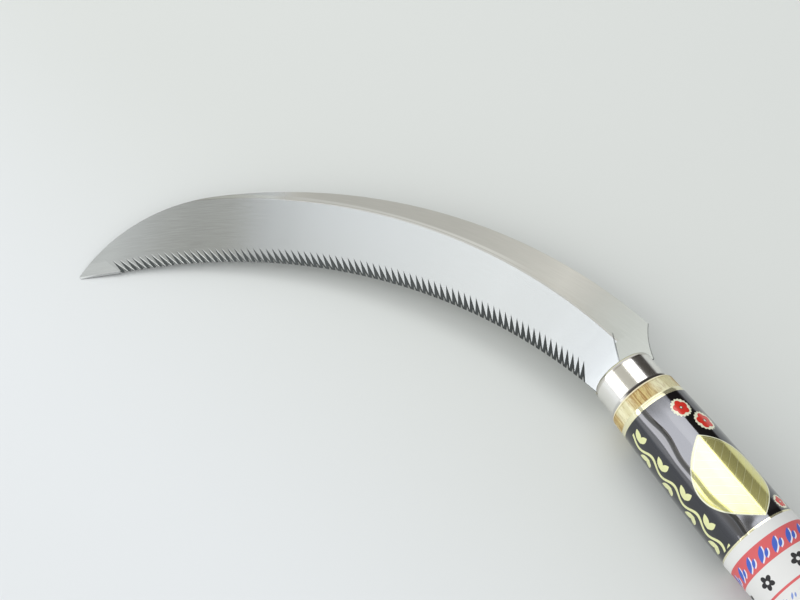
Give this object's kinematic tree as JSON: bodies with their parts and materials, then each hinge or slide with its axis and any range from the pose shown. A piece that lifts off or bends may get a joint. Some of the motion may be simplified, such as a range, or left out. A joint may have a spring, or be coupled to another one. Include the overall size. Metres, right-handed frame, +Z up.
{
  "type": "serrated sickle",
  "caption": "One-handed sickle with a curved blade ground on one face, slanting saw teeth along the inner edge, a metal ferrule and a turned wooden handle in a printed sleeve.",
  "frame": {"origin": "centre of the butt face of the handle", "axes": "+X along the handle towards the blade, +Y towards the side that the blade curves to, +Z up when the sickle lies on a table on its handle and its tip"},
  "size_m": [0.2993, 0.1578, 0.0282],
  "materials": {
    "blade_steel": "satin ground stainless steel",
    "ferrule_metal": "polished",
    "handle_wood": "pale turned wood, lightly varnished",
    "pin_steel": "plain wire",
    "sleeve_film": "glossy black film with gold foil",
    "label_paper": "coated white paper"
  },
  "bodies": {
    "root": {"blade": "blade_steel", "ferrule": "ferrule_metal", "handle": "handle_wood", "tang_pin": "pin_steel", "film_sleeve": "sleeve_film", "paper_label": "label_paper"}
  },
  "joints": []
}
